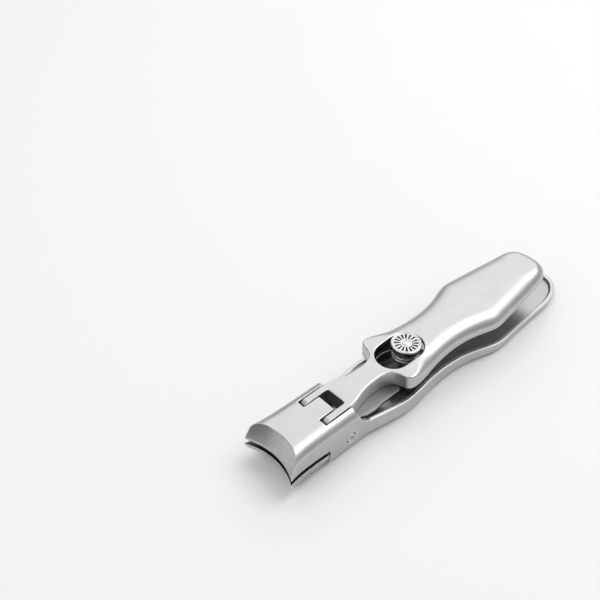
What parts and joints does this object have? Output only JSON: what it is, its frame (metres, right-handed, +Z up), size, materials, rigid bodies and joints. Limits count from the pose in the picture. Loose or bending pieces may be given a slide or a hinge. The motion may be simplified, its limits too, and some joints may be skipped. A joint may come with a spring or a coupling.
{
  "type": "nail clipper",
  "caption": "Slim plier-type nail clipper: pressed steel frame with concave jaw, waisted thumb lever on a cross pin, and a round sliding knob that locks the lever.",
  "frame": {"origin": "middle of the clipper's box, on the surface it lies on", "axes": "+X along the handle away from the cutting edges, +Z up through the thumb lever, +Y to the clipper's left seen from the cutting edges towards the handle"},
  "size_m": [0.082, 0.0162, 0.0108],
  "materials": {
    "satin_steel": "bead-blasted satin stainless steel",
    "ground_steel": "finely ground stainless steel",
    "spring_steel": "bright drawn spring steel"
  },
  "bodies": {
    "frame": {"frame_shell": "satin_steel", "pivot_pin": "satin_steel", "pivot_washer_left": "spring_steel", "pivot_washer_right": "spring_steel", "lever_spring": "spring_steel", "slide_rail": "satin_steel", "rail_rivets": "satin_steel"},
    "lever": {"thumb_lever": "satin_steel", "lower_jaw": "ground_steel", "keyhole_spring": "spring_steel"},
    "knob": {"knob_cap": "ground_steel", "knob_collar": "ground_steel", "knob_post": "satin_steel", "slide_foot": "satin_steel", "drag_spring": "spring_steel"}
  },
  "joints": [
    {"name": "lever_swing", "type": "hinge", "parent": "frame", "child": "lever", "pos_m": [-0.0253, 0, 0.00325], "axis": [0, -1, 0], "range_deg": [-3.9, 5], "stiffness_Nm_per_rad": 0.6, "deforming": ["lever_spring", "keyhole_spring"]},
    {"name": "knob_slide", "type": "slide", "parent": "frame", "child": "knob", "axis": [-1, 0, 0], "range_m": [0, 0.0037]}
  ]
}
